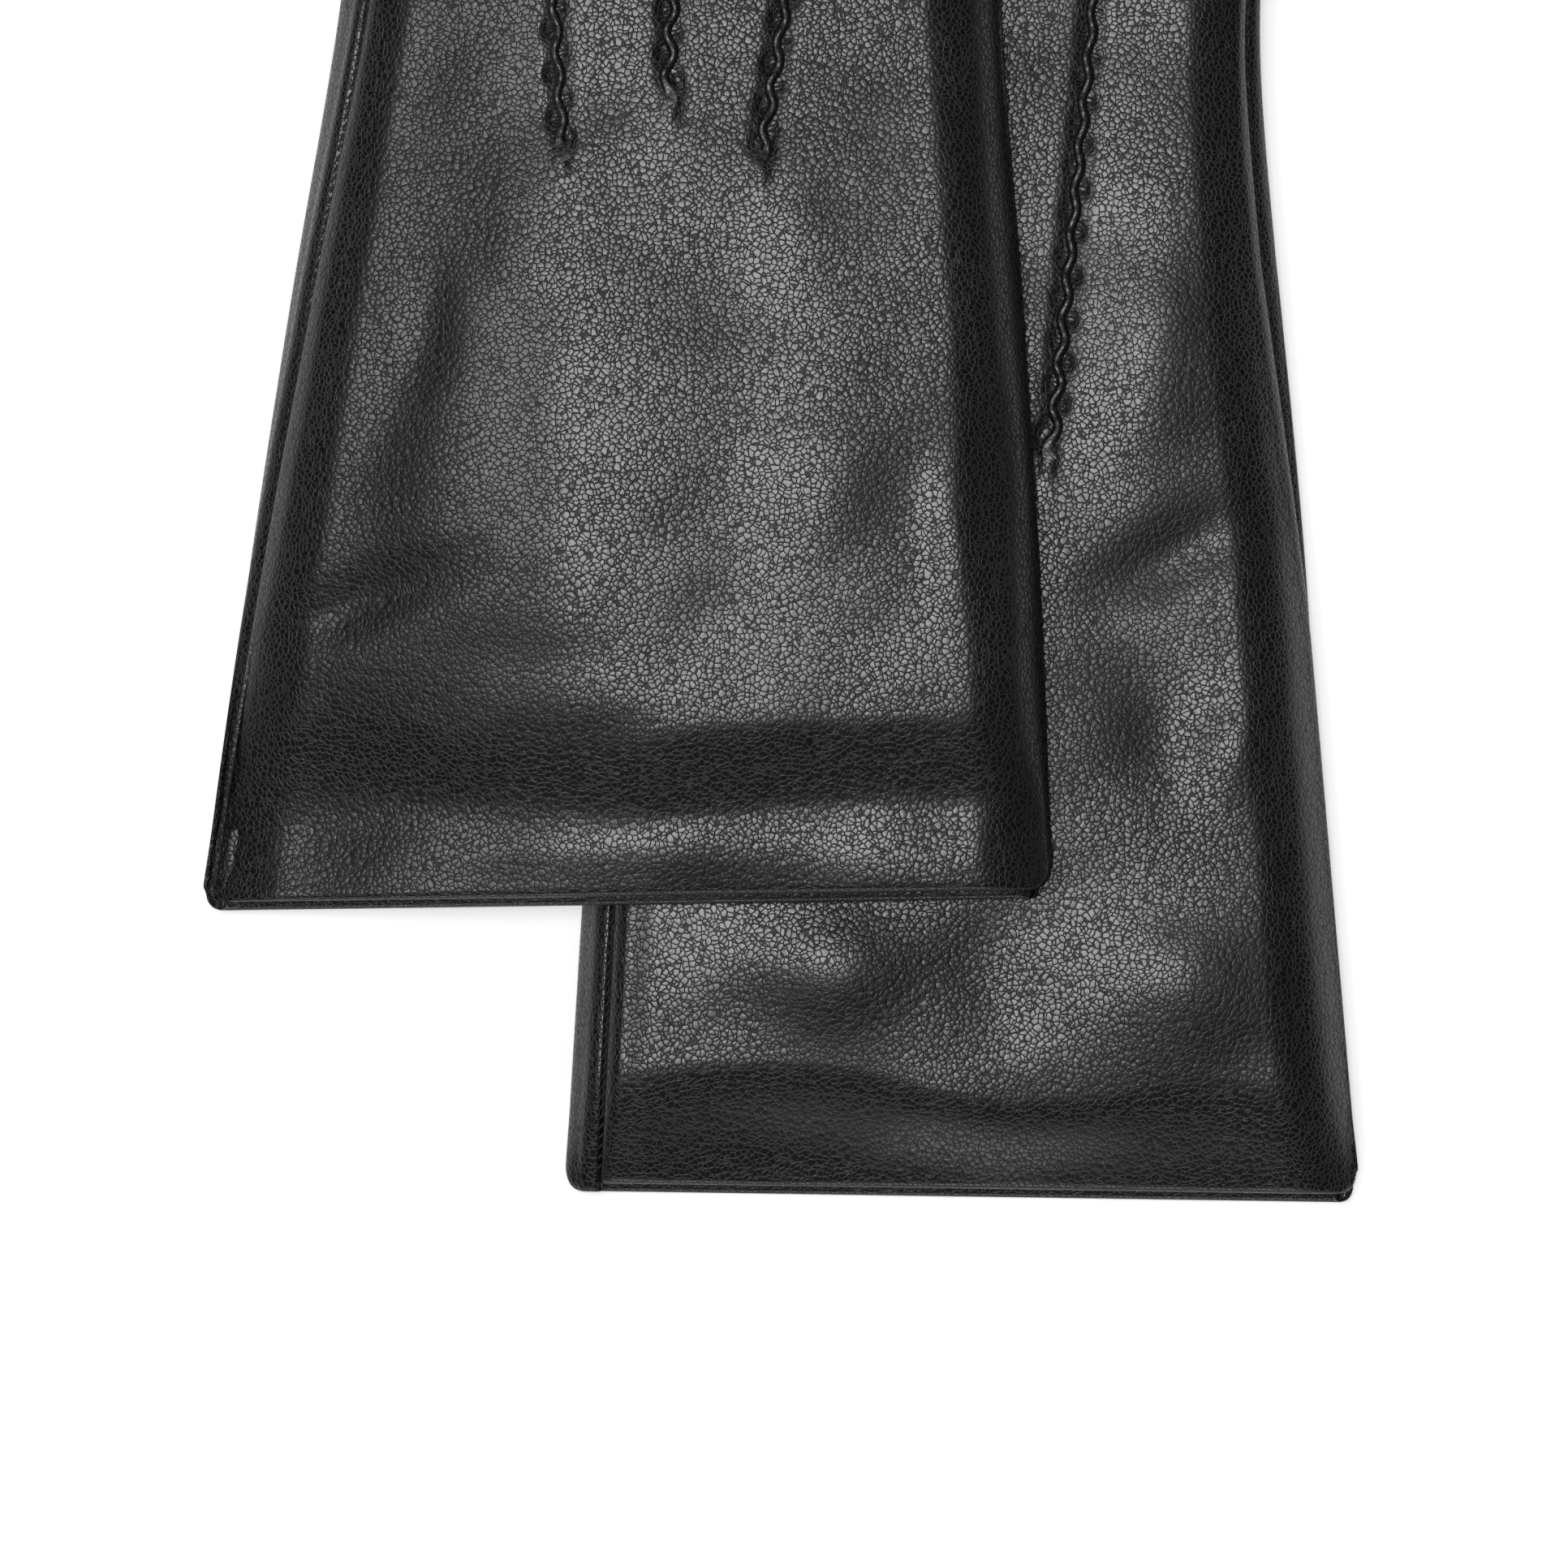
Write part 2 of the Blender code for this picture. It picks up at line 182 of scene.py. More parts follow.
# Welts beside the seams: height, distance from the seam and width, in mm
PLAIN_WELT = (0.4, 1.9, 1.0)
ROLLED_WELT = (0.5, 1.05, 0.62)
FLAT_WELT = (0.12, 2.4, 1.2)
# Relief fades out towards the knuckle line in the hand, and back in on the fingers
HAND_RELIEF_END = (200 * MM, 21 * MM)
DIGIT_RELIEF_START = (4 * MM, 14 * MM)


class Rows:
    """Flattened sections along a tube: middle, across direction, half width, radius and tip angle."""

    def __init__(self, low, high, radius, tip=None, fold=None):
        low, high = np.asarray(low, float), np.asarray(high, float)
        self.middle = (low + high) / 2
        length = np.linalg.norm(high - low, axis=1)
        self.half = length / 2
        self.across = (high - low) / length[:, None]
        self.forward = np.stack([-self.across[:, 1], self.across[:, 0]], axis=1)
        self.radius = np.broadcast_to(np.asarray(radius, float), self.half.shape).copy()
        self.tip = np.zeros(len(self.half)) if tip is None else np.asarray(tip, float)
        self.fold = np.zeros(len(self.half)) if fold is None else np.asarray(fold, float)


def skin(rows, side, angle, offset):
    """Pattern points (u, v, z) round the sections, offset outwards from the outer skin."""
    col = (slice(None), None)
    cos_tip = np.cos(rows.tip)[col]
    total = rows.half[col] * cos_tip
    height = rows.radius[col] * cos_tip**0.6
    radius = np.where(rows.tip[col] > 0, np.minimum(height, 0.8 * total), height)
    out = offset - rows.fold[col]
    reach = out * np.where(rows.tip[col] > 0, cos_tip, 1.0)
    s = side * (total - radius) + (radius + reach) * np.cos(angle)
    ahead = (rows.half[col] + out) * np.sin(rows.tip)[col]
    u = rows.middle[:, 0][col] + rows.across[:, 0][col] * s + rows.forward[:, 0][col] * ahead
    v = rows.middle[:, 1][col] + rows.across[:, 1][col] * s + rows.forward[:, 1][col] * ahead
    return u, v, rows.radius[col] + (radius + reach) * np.sin(angle), s


def columns(rows, start, end, over, edge_step=0.25 * MM, edge_count=13, step=0.7 * MM):
    """Places round each section from the seam at angle start on the thumb side to the one at end.

    Returns side, angle and the distance from the nearer seam, row by row. Rows at a rounded tip
    take the places of the last straight row."""
    sign = 1.0 if over else -1.0
    start, end = (np.broadcast_to(a, rows.half.shape) for a in (start, end))
    radius = rows.radius
    first = radius * (math.pi / 2 - sign * start) - SEAM_GAP
    flat = 2 * np.maximum(rows.half - radius, 0.0)
    last = radius * (math.pi / 2 - sign * end) - SEAM_GAP
    length = first + flat + last
    edge = np.arange(edge_count) * edge_step
    inner = int(max((length.max() - 2 * edge[-1]) / step, 4))
    t = np.linspace(0, 1, inner + 2)[1:-1]
    middle = edge[-1] + t[None, :] * (length - 2 * edge[-1])[:, None]
    s = np.concatenate([np.tile(edge, (len(length), 1)), middle, length[:, None] - edge[::-1]], axis=1)
    on_first = s < first[:, None]
    on_last = s > (first + flat)[:, None]
    side = 1 - 2 * (s - first[:, None]) / np.maximum(flat, 1e-9)[:, None]
    side = np.where(on_first, 1.0, np.where(on_last, -1.0, side))
    turn = np.where(on_first, math.pi / 2 - (first[:, None] - s) / radius[:, None], math.pi / 2)
    turn = np.where(on_last, math.pi / 2 + (s - (first + flat)[:, None]) / radius[:, None], turn)
    distance = np.minimum(s, length[:, None] - s)
    tip = rows.tip > 0
    if tip.any():
        straight = np.flatnonzero(~tip)[-1]
        side[tip], turn[tip] = side[straight], turn[straight]
        distance[tip] = distance[straight] * np.cos(rows.tip[tip])[:, None]
    return side, sign * turn, distance


def seam_shape(distance, welt=PLAIN_WELT):
    """How a skin's edge swells beside its seam and curls down into it.

    welt holds the swelling's height, distance from the seam and width in millimetres."""
    curl = np.clip(1.0 - distance / SEAM_CURL, 0.0, 1.0)
    dip = SEAM_CURL * (1.0 - np.sqrt(np.maximum(1.0 - curl**2, 0.0)))
    return welt[0] * MM * hump(distance - welt[1] * MM, welt[2] * MM) - dip


def corner_shift(rows, s):
    """How far the hem's corners are drawn back to round them."""
    from_corner = rows.half[:, None] - np.abs(s)
    t = np.clip(1.0 - from_corner / CORNER, 0.0, 1.0)
    fade = 1.0 - smooth(rows.v / CORNER_RUN)[:, None]
    return CORNER * (1.0 - np.sqrt(np.maximum(1.0 - t**2, 0.0))) * fade


def seam_angles(glove, v):
    """Seam angles in radians on the thumb side and the little finger's side."""
    thumb = np.interp(v, SEAM_AT, glove.thumb_seam)
    out = np.interp(v, SEAM_AT, glove.out_seam)
    settle = smooth((v - 150 * MM) / (60 * MM))
    return np.radians(thumb * (1 - settle)), np.radians(out * (1 - settle))


def lens(rows, s):
    """Share of its full height that an empty cuff has across it: pressed flat towards its sides.

    The hem is pressed too, over the glove's own run of it."""
    glove = rows.glove
    fade_start, fade_end = OPEN_CUFF
    open_cuff = 1.0 - smooth((rows.v - fade_start) / (fade_end - fade_start))[:, None]
    inwards = np.clip((rows.half[:, None] - np.abs(s)) / EDGE_RUN, 0.0, 1.0)
    side = 1.0 - (1.0 - EDGE_HEIGHT) * (1.0 - np.sin(inwards * math.pi / 2)) * open_cuff
    high, low, press = glove.hem_press
    wander = waves(s, rows.v[:, None], SEED + 21, 45 * MM, 2.2 * MM)
    pressed = smooth((high - rows.v[:, None] + wander) / (high - low))
    return side * (1.0 - press * pressed)


def hand_rows_at(glove, v, depth=0.0, drop=0.0):
    """Rows of the hand at distances from the hem; a hem that reaches further down has a drop."""
    knuckle = smooth((v - 185 * MM) / (KNUCKLE_V - 185 * MM)) * KNUCKLE_SLOPE
    slope = glove.hem_slope * (1.0 - smooth(v / HEM_SLANT_FADE)) + knuckle
    short = KNUCKLE_HALF - half_width(glove, np.array([KNUCKLE_V]))[0]
    half = half_width(glove, v) + short * smooth((v - 196 * MM) / (KNUCKLE_V - 196 * MM))
    shift = v - drop * (1.0 - smooth(v / (14 * MM)))
    low = np.stack([-half, shift - slope * half], axis=1)
    high = np.stack([half, shift + slope * half], axis=1)
    rows = Rows(low, high, HALF_THICK, fold=np.broadcast_to(depth, v.shape))
    rows.v = v
    rows.glove = glove
    return rows


def hand_rows(glove, step=0.8 * MM, drop=0.0):
    """Rows of a hand skin, from its turned-in end round the hem's fold to the knuckles."""
    turned = np.linspace(TURN_IN, FOLD_RADIUS + 0.3 * MM, 9)
    bend = np.radians(np.arange(165, 0, -15))
    fine = np.arange(1.2, 22.0, 0.55) * MM
    plain = np.arange(22.0 * MM, KNUCKLE_V - step / 2, step)
    v = np.concatenate([turned, FOLD_RADIUS * (1 - np.sin(bend)), fine, plain, [KNUCKLE_V]])
    sunk = np.linspace(TURNED_DEPTH, 2 * FOLD_RADIUS, 9)
    depth = np.concatenate([sunk, FOLD_RADIUS * (1 - np.cos(bend))])
    depth = np.concatenate([depth, np.zeros(len(v) - len(depth))])
    return hand_rows_at(glove, v, depth, drop)


def lobes(s, v):
    """1 over the hand, and towards the knuckles the shape of four fingers side by side."""
    near = smooth((v - (KNUCKLE_V - LOBE_LENGTH)) / LOBE_LENGTH)
    inside = np.abs(s) < 2 * FINGER_PITCH - HALF_THICK
    from_edge = np.abs((s + FINGER_PITCH / 2) % FINGER_PITCH - FINGER_PITCH / 2)
    dip = np.clip(1.0 - from_edge / HALF_THICK, 0.0, 1.0)
    rounded = np.sqrt(np.maximum(1.0 - dip**2, 0.0))
    return np.where(inside, 1.0 - near * (1.0 - rounded), 1.0)


def folds(table, u, v):
    """Sum of the listed swells and dents: middle u and v, half lengths, turn and height, in mm."""
    total = np.zeros(np.broadcast(u, v).shape)
    for cu, cv, ru, rv, turn, height in table:
        c, s = math.cos(math.radians(turn)), math.sin(math.radians(turn))
        du, dv = u - cu * MM, v - cv * MM
        p, q = du * c + dv * s, dv * c - du * s
        total = total + height * MM * np.exp(-((p / (ru * MM)) ** 2) - (q / (rv * MM)) ** 2)
    return total


def waves(u, v, seed, size, height):
    """Soft seeded undulation, a sum of a few plane waves of about one size."""
    draw = np.random.default_rng(seed)
    total = np.zeros(np.broadcast(u, v).shape)
    for _ in range(9):
        turn, phase = draw.uniform(0, 2 * math.pi, 2)
        pace = 2 * math.pi / (size * draw.uniform(0.7, 1.5))
        total = total + np.sin(pace * (u * math.cos(turn) + v * math.sin(turn)) + phase)
    return height * total / 3.0


# Swells and dents on the backs, in the form that folds() takes
LEFT_FOLDS = [
    (-4, 68, 40, 46, 0, 1.3),
    (-8, 48, 15, 26, 6, 0.4),
    (-30.5, 77, 3.5, 8, -6, -0.4),
    (-35, 60, 6, 16, -12, -0.5),
    (-38.5, 37.5, 14, 4.2, 23.7, -1.0),
    (-44, 14, 28, 17, 18, -3.0),
    (-16, 15, 24, 7, 6, -1.3),
    (12, 12, 40, 5.5, 3, -0.8),
    (38, 18, 14, 6, -12, -0.5),
    (0, -2, 60, 9.5, 0, -2.3),
    (24, 62, 9, 22, 0, 0.6),
    (42, 50, 3.5, 9, 8, 0.7),
    (47, 62, 3, 12, 4, -0.5),
    (10, 84, 10, 7, 20, -0.5),
    (-19, 88, 4, 9, 0, 0.4),
    (18, 90, 5, 9, 0, 0.4),
    (-8, 112, 5, 12, 0, -0.6),
    (-34, 112, 10, 16, 0, -0.6),
    (14, 100, 9, 10, 0, -0.3),
]
RIGHT_FOLDS = [
    (0, 66, 36, 50, 0, 1.2),
    (17, 30, 9, 7, 10, 1.2),
    (-30, 27, 11, 9, 0, 1.2),
    (-5, 27, 7, 11, 0, -0.6),
    (-28, 118, 8, 22, 6, 1.0),
    (-38, 60, 5, 8, 20, 0.8),
    (-28, 62, 6, 8, -20, -0.6),
    (-31, 86, 12, 5, -25, -0.8),
    (4, 0, 60, 12, 0, -1.6),
]


# Points: place across at the cuff end and at the knuckle end, and where they start along, in mm
POINTS = {"point_1": (-13.4, -24.5, 100.0), "point_2": (0.4, 0.0, 108.0), "point_3": (13.4, 24.5, 100.0)}
POINT_TOP_V = 205.0 * MM
WAVE_LENGTH = 6.0 * MM
WAVE_HEIGHT = 0.5 * MM
RIDGE_HALF = 0.7 * MM
RIDGE_HEIGHT = 0.95 * MM
TROUGH_DEPTH = 0.5 * MM
TROUGH_HALF = 1.4 * MM
PIT_DEPTH = 0.6 * MM
END_PIT_DEPTH = 0.7 * MM
END_BULGE_HEIGHT = 0.42 * MM


def point_line(glove, name, v):
    """Across position of a point's wavy ridge at v, its straight line, and how wavy it is there."""
    base_u, top_u, base_v = POINTS[name]
    t = (v - base_v * MM) / (POINT_TOP_V - base_v * MM)
    middle = (base_u + (top_u - base_u) * t) * MM
    draw = np.random.default_rng(SEED + list(POINTS).index(name) + (10 if glove.draped else 0))
    phase, drift = draw.uniform(0, 2 * math.pi, 2)
    calm = 0.45 + 0.55 * smooth((base_v * MM + 75 * MM - v) / (60 * MM))
    wobble = 1.0 + 0.25 * np.sin(v / (11 * MM) + drift)
    turn = 2 * math.pi * v / WAVE_LENGTH + phase + 0.5 * np.sin(v / (17 * MM) + drift)
    return middle + WAVE_HEIGHT * calm * wobble * np.sin(turn), middle, np.sin(turn) * calm


def point_ends(name, v):
    """1 along a point and 0 beyond its ends."""
    base_v = POINTS[name][2] * MM
    return smooth((v - base_v) / (3 * MM)) * smooth((POINT_TOP_V - v) / (6 * MM))


def point_troughs(glove, u, v):
    """The dips beside the ridges, deepest in the hollow of each wave."""
    total = np.zeros(np.broadcast(u, v).shape)
    for name in POINTS:
        _, middle, sway = point_line(glove, name, v)
        along = point_ends(name, v)
        total = total - TROUGH_DEPTH * along * hump(u - middle, TROUGH_HALF)
        hollow = middle - np.sign(sway) * 1.15 * MM
        deep = PIT_DEPTH * along * smooth(np.abs(sway) * 1.6 - 0.5) * np.where(sway > 0, 1.0, 0.45)
        total = total - deep * hump(u - hollow, 0.6 * MM)
        end_v = POINTS[name][2] * MM
        end_u = point_line(glove, name, np.array(end_v))[0]
        pit = ((u - end_u - 0.9 * MM) / (0.8 * MM)) ** 2 + ((v - end_v - 1.2 * MM) / (1.5 * MM)) ** 2
        bulge = ((u - end_u) / (1.1 * MM)) ** 2 + ((v - end_v + 1.3 * MM) / (2.6 * MM)) ** 2
        total = total - END_PIT_DEPTH * np.exp(-pit) + END_BULGE_HEIGHT * np.exp(-bulge)
    return total


def back_relief(glove, u, v):
    """Height of the back's own relief above the plain section."""
    return folds_only(glove, u, v) + point_troughs(glove, u, v)


def palm_relief(glove, u, v):
    """Relief of the palm, kept off what it lies on."""
    return 0.3 * MM * (1 + np.clip(waves(u, v, SEED + 11 + glove.mirror, 30 * MM, 0.5), -1, 1))


# ---------------------------------------------------------------- mesh making
def grid_normals(p):
    """Unit normals of a grid of points, from its own differences."""
    du = np.gradient(p, axis=1)
    dv = np.gradient(p, axis=0)
    n = np.cross(du, dv)
    return n / np.maximum(np.linalg.norm(n, axis=-1, keepdims=True), 1e-12)


def sheet_mesh(name, outer, inner):
    """A closed mesh between two grids of points, with even quads."""
    rows, cols = outer.shape[:2]
    count = rows * cols
    verts = np.concatenate([outer.reshape(-1, 3), inner.reshape(-1, 3)])
    index = np.arange(count).reshape(rows, cols)
    quads = np.stack([index[:-1, :-1], index[:-1, 1:], index[1:, 1:], index[1:, :-1]], axis=-1)
    quads = quads.reshape(-1, 4)
    rim = np.concatenate([index[0, :], index[1:, -1], index[-1, -2::-1], index[-2:0:-1, 0]])
    after = np.roll(rim, -1)
    walls = np.stack([after, rim, rim + count, after + count], axis=-1)
    faces = np.concatenate([quads, quads[:, ::-1] + count, walls])
    return finish_mesh(name, verts, faces)


def finish_mesh(name, verts, faces):
    """Makes and links a mesh object with smooth faces that point outwards."""
    data = bpy.data.meshes.new(name)
    data.vertices.add(len(verts))
    data.vertices.foreach_set("co", verts.astype(np.float32).ravel())
    size = faces.shape[1]
    data.loops.add(faces.size)
    data.loops.foreach_set("vertex_index", faces.astype(np.int32).ravel())
    data.polygons.add(len(faces))
    data.polygons.foreach_set("loop_start", np.arange(0, faces.size, size, dtype=np.int32))
    data.polygons.foreach_set("use_smooth", np.ones(len(faces), bool))
    data.update(calc_edges=True)
    obj = bpy.data.objects.new(name, data)
    bpy.context.scene.collection.objects.link(obj)
    return obj


def tube_mesh(name, outer, inner):
    """A closed mesh between two tubes of points whose columns go all the way round."""
    rows, cols = outer.shape[:2]
    count = rows * cols
    verts = np.concatenate([outer.reshape(-1, 3), inner.reshape(-1, 3)])
    index = np.arange(count).reshape(rows, cols)
    after = np.roll(index, -1, axis=1)
    quads = np.stack([index[:-1], after[:-1], after[1:], index[1:]], axis=-1).reshape(-1, 4)
    low = np.stack([after[0], index[0], index[0] + count, after[0] + count], axis=-1)
    high = np.stack([index[-1], after[-1], after[-1] + count, index[-1] + count], axis=-1)
    return finish_mesh(name, verts, np.concatenate([quads, quads[:, ::-1] + count, low, high]))


def outward(points, normals):
    """True where a grid's normals point away from the middle of its rows, taken all together."""
    away = points - points.mean(axis=1, keepdims=True)
    return float((away * normals).sum()) > 0


def two_sided(name, points, normals, faces_out, thick):
    """A skin with its flesh side a thickness below, turned so that the skin faces outwards."""
    if faces_out:
        return sheet_mesh(name, points, points - normals * thick)
    return sheet_mesh(name, points[:, ::-1], (points + normals * thick)[:, ::-1])


def leather_sheet(name, points, thick=LEATHER):
    """A back or palm piece of leather."""
    normals = grid_normals(points)
    return two_sided(name, points, normals, outward(points, normals), thick)


def wall_sheet(glove, name, points, way):
    """A fourchette: a narrow strip whose skin faces sideways."""
    normals = grid_normals(points)
    faces_out = float(normals[..., 0].sum()) * glove.mirror * way > 0
    return two_sided(name, points, normals, faces_out, LEATHER)


def lay(glove, rows, side, angle, offset, in_hand=True):
    """Grid of row-frame points for a skin of one glove, with its relief."""
    u, v, z, s = skin(rows, side, angle, offset)
    middle = rows.radius[:, None]
    if in_hand:
        v = v + corner_shift(rows, s)
        z = middle + (z - middle) * lobes(s, rows.v[:, None])
        z = z * lens(rows, s)
        fade = 1.0 - smooth((v - HAND_RELIEF_END[0]) / HAND_RELIEF_END[1])
        above = back_relief(glove, u, v) * fade
        below = palm_relief(glove, u, v) * fade
    else:
        fade = smooth((v - KNUCKLE_V - DIGIT_RELIEF_START[0]) / DIGIT_RELIEF_START[1])
        above = waves(u, v, SEED + 3, 15 * MM, 0.3 * MM) * fade
        below = np.abs(waves(u, v, SEED + 4, 18 * MM, 0.3 * MM)) * fade
    rise = np.sin(angle)
    z = z + np.where(rise > 0, above, below) * np.abs(rise) ** 1.5 * np.cos(rows.tip)[:, None]
    return place(glove, u, v, z)


# ---------------------------------------------------------------- pieces
PIECES = {"leather": [], "ridge": [], "knit": [], "thread": []}
SHARP_ANGLE = math.radians(55)
LINING_START_V = 9.4 * MM


def keep(obj, kind):
    """Files a piece under its material and sharpens its cut edges."""
    obj.data.set_sharp_from_angle(angle=SHARP_ANGLE)
    PIECES[kind].append(obj)
    return obj


def make_hand(glove):
    """Back, palm and knit of a hand."""
    body = glove.name + "_hand"
    for label, over, drop in (("back", True, 0.0), ("palm", False, 1.2 * MM)):
        rows = hand_rows(glove, drop=drop)
        thumb, out = seam_angles(glove, rows.v)
        side, angle, distance = columns(rows, thumb, out, over)
        narrow = seam_shape(distance, FLAT_WELT if over else ROLLED_WELT)
        shape = np.where(side < 0, narrow, seam_shape(distance)) if glove.draped else seam_shape(distance)
        points = lay(glove, rows, side, angle, shape)
        skived = 1.0 - SKIVED * smooth(rows.fold / (2 * FOLD_RADIUS))
        sheet = leather_sheet(glove.name + "_hand_" + label, points, LEATHER * skived[:, None, None])
        obj = keep(sheet, "leather")
        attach(obj, body)
        nodes = [glove.name + "_" + label + "_panel"] + ([glove.name + "_hem_facing"] if over else [])
        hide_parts(*nodes)
    v = np.concatenate([np.arange(LINING_START_V, 222.0 * MM, 2.0 * MM), [KNUCKLE_V]])
    obj = knit_tube(glove, "hand_knit", hand_rows_at(glove, v), True)
    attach(obj, body)
    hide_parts(glove.name + "_hand_lining")


def knit_tube(glove, label, rows, in_hand):
    """The lining inside a hand or a digit."""
    turn = np.concatenate([np.linspace(0, 90, 7), np.linspace(90, 180, 7)])
    sides = np.concatenate([np.full(7, 1.0), np.full(7, -1.0)])
    flat = np.linspace(1, -1, 32)[1:-1]
    over_side = np.concatenate([sides[:7], flat, sides[7:]])
    over_turn = np.concatenate([turn[:7], np.full(30, 90.0), turn[7:]])
    side = np.concatenate([over_side, over_side[-2:0:-1]])
    angle = np.radians(np.concatenate([over_turn, -over_turn[-2:0:-1]]))
    side, angle = (np.tile(a, (len(rows.half), 1)) for a in (side, angle))
    outer = lay(glove, rows, side, angle, -LINING_DEPTH, in_hand)
    inner = lay(glove, rows, side, angle, -LINING_DEPTH - KNIT, in_hand)
    if glove.mirror > 0:
        outer, inner = outer[:, ::-1], inner[:, ::-1]
    obj = keep(tube_mesh(glove.name + "_" + label, outer, inner), "knit")
    return obj


def make_ridge(glove, name):
    """A point: the raised wavy tuck along the back."""
    base_v = POINTS[name][2] * MM
    v = np.arange(base_v - 1.5 * MM, POINT_TOP_V + 1.5 * MM, 0.35 * MM)
    u, middle, _ = point_line(glove, name, v)
    slope = np.gradient(u, v)
    across = np.stack([np.ones(len(v)), -slope], axis=1) / np.hypot(1, slope)[:, None]
    turn = np.radians(np.linspace(0, 180, 9))
    reach = np.concatenate([RIDGE_HALF * np.cos(turn), [-1.15 * RIDGE_HALF, 1.15 * RIDGE_HALF]])
    high = np.concatenate([np.sin(turn) ** 0.7, [-0.9, -0.9]])
    swell = 0.9 + 0.1 * np.cos(2 * math.pi * v / (WAVE_LENGTH / 2))
    swell = swell * point_ends(name, v)
    uu = u[:, None] + across[:, :1] * reach
    vv = v[:, None] + across[:, 1:] * reach
    relief = back_relief(glove, middle[:, None] + 0 * uu, v[:, None] + 0 * uu)
    lensed = lens(hand_rows_at(glove, v), middle[:, None])
    base = 2 * HALF_THICK * lensed + relief + 0.1 * MM
    z = base + high * RIDGE_HEIGHT * np.where(high > 0, swell[:, None], 1.0)
    points = place(glove, uu, vv, z)
    if glove.mirror > 0:
        points = points[:, ::-1]
    rows, cols = points.shape[:2]
    index = np.arange(rows * cols).reshape(rows, cols)
    after = np.roll(index, -1, axis=1)
    faces = np.stack([index[:-1], after[:-1], after[1:], index[1:]], axis=-1).reshape(-1, 4)[:, ::-1]
    obj = finish_mesh(glove.name + "_" + name + "_ridge", points.reshape(-1, 3), faces)
    close_ends(obj)
    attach(keep(obj, "ridge"), glove.name + "_hand")
    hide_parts(glove.name + "_" + name)


def close_ends(obj):
    """Fills a tube's two open ends and turns its faces outwards."""
    mesh = bmesh.new()
    mesh.from_mesh(obj.data)
    bmesh.ops.holes_fill(mesh, edges=[e for e in mesh.edges if e.is_boundary], sides=0)
    bmesh.ops.recalc_face_normals(mesh, faces=mesh.faces)
    mesh.to_mesh(obj.data)
    mesh.free()


def stitches(name, centres, along, normal, length, radius, body):
    """Short threads, each bowed over its middle, as one piece."""
    along = along / np.linalg.norm(along, axis=1, keepdims=True)
    side = np.cross(normal, along)
    side = side / np.linalg.norm(side, axis=1, keepdims=True)
    normal = np.cross(along, side)
    at = np.array([-0.5, -0.44, -0.25, 0.0, 0.25, 0.44, 0.5])
    size = np.array([0.35, 0.8, 1.0, 1.0, 1.0, 0.8, 0.35])
    bow = np.array([-1.5, -0.9, -0.1, 0.2, -0.1, -0.9, -1.5])
    turn = np.radians(np.arange(0, 360, 60))
    local = np.stack([
        np.repeat(at * length, 6),
        np.outer(size, np.cos(turn)).ravel() * radius,
        (np.outer(size, np.sin(turn)) + bow[:, None]).ravel() * radius,
    ], axis=1)
    count = len(local)
    ring = np.arange(count).reshape(-1, 6)
    after = np.roll(ring, -1, axis=1)
    faces = np.stack([ring[:-1], ring[1:], after[1:], after[:-1]], axis=-1).reshape(-1, 4)[:, ::-1]
    caps = [ring[0][[3, 2, 1, 0]], ring[0][[5, 4, 3, 0]], ring[-1][[0, 1, 2, 3]], ring[-1][[0, 3, 4, 5]]]
    faces = np.concatenate([faces, caps])
    axes = np.stack([along, side, normal], axis=1)
    verts = centres[:, None] + np.einsum("mk,nkd->nmd", local, axes)
    faces = faces[None] + (np.arange(len(centres)) * count)[:, None, None]
    obj = keep(finish_mesh(name, verts.reshape(-1, 3), faces.reshape(-1, 4)), "thread")
    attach(obj, body)


SEAM_PITCH = 1.4 * MM
SEAM_STITCH = (1.45 * MM, 0.15 * MM)  # length and radius
SEAM_THREAD_DEPTH = 0.62 * MM
POINT_STITCH = (1.6 * MM, 0.1 * MM)
POINT_STITCH_OUT = 0.75 * MM  # from the point's middle line
PAIR_HALF = 0.26 * MM


def seam_threads(glove, which):
    """The stitches in one side seam of a hand."""
    v = np.arange(2.2 * MM, 214 * MM, SEAM_PITCH)
    sign = 1.0 if which == "thumb" else -1.0
    pick = 0 if which == "thumb" else 1

    def at(shift_v, shift_angle, offset=-SEAM_THREAD_DEPTH):
        rows = hand_rows_at(glove, v + shift_v)
        angle = seam_angles(glove, v + shift_v)[pick] + shift_angle
        angle = angle if sign > 0 else math.pi - angle
        return lay(glove, rows, np.full((len(v), 1), sign), angle[:, None], offset)[:, 0]

    centre = at(0, 0)
    along = at(0.3 * MM, 0) - at(-0.3 * MM, 0)
    across = at(0, 0.05) - at(0, -0.05)
    normal = at(0, 0, 0.0) - at(0, 0, -1 * MM)
    along /= np.linalg.norm(along, axis=1, keepdims=True)
    across /= np.linalg.norm(across, axis=1, keepdims=True)
    stitches(glove.name + "_" + which + "_side_stitches", centre, along + 0.75 * across, normal,
             *SEAM_STITCH, glove.name + "_hand")


